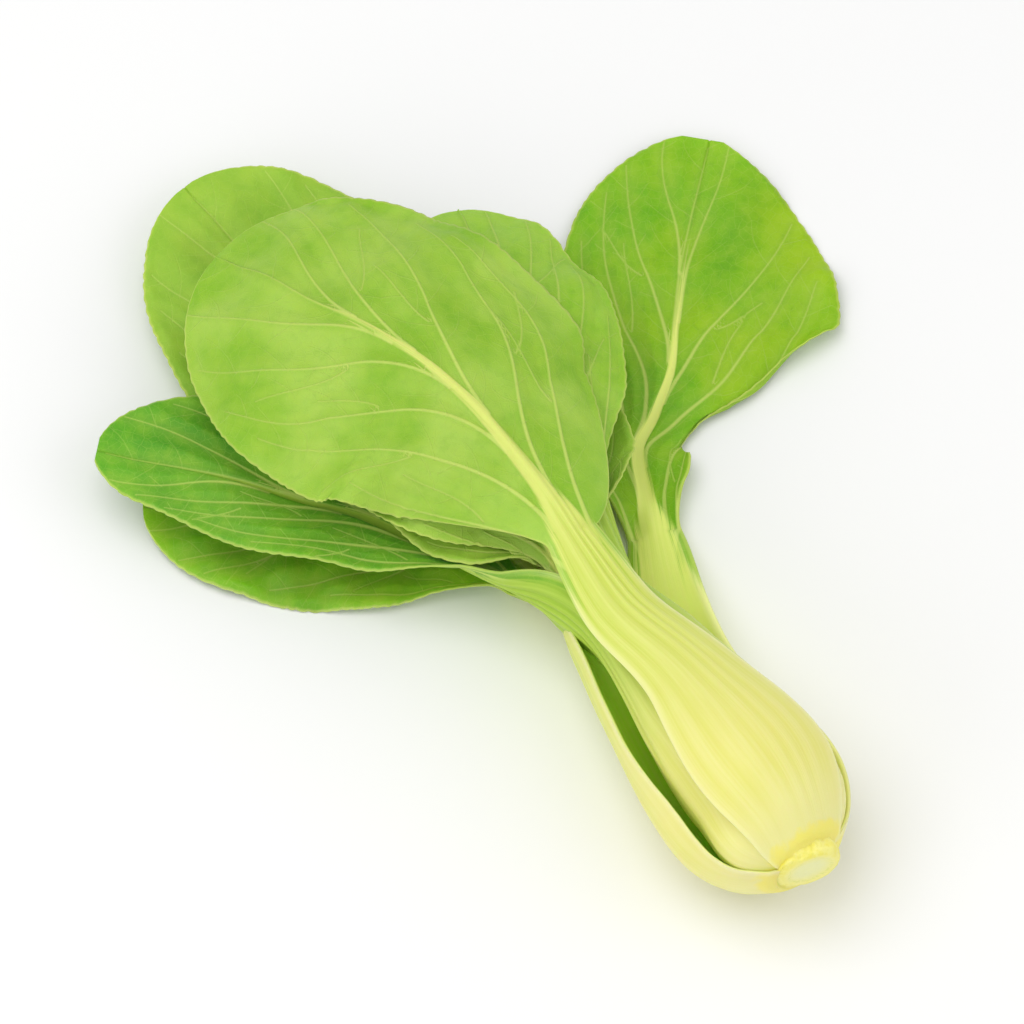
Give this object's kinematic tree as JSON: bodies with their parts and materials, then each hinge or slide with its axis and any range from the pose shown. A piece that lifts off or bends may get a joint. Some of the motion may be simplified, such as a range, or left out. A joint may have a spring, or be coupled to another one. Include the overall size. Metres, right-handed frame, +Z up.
{
  "type": "bok choy head",
  "caption": "Whole head of Shanghai bok choy lying on its side, with a cut stem, pale thick stalks wrapped into a bulb and green spoon-shaped leaves fanned out.",
  "frame": {"origin": "bottom centre of the bounding box, on the surface that the head lies on", "axes": "+X from the leaf tips towards the cut stem, along the head; +Z up; +Y to the side where the far outer leaf is spread"},
  "size_m": [0.26, 0.1946, 0.0492],
  "materials": {
    "stem_flesh": "moist cut plant flesh, pale green in the middle with a yellow rim",
    "leaf": "fresh leaf, waxy and softly glossy, from a pale yellow-green ribbed stalk to a green veined blade"
  },
  "bodies": {
    "root": {"cut_stem": "stem_flesh", "outer_leaf_near": "leaf", "outer_leaf_top": "leaf", "outer_leaf_far": "leaf", "middle_leaf_near": "leaf", "middle_leaf_far": "leaf", "middle_leaf_under": "leaf", "inner_leaf_top": "leaf", "inner_leaf_far": "leaf", "inner_leaf_near": "leaf", "heart_leaf": "leaf"}
  },
  "joints": []
}
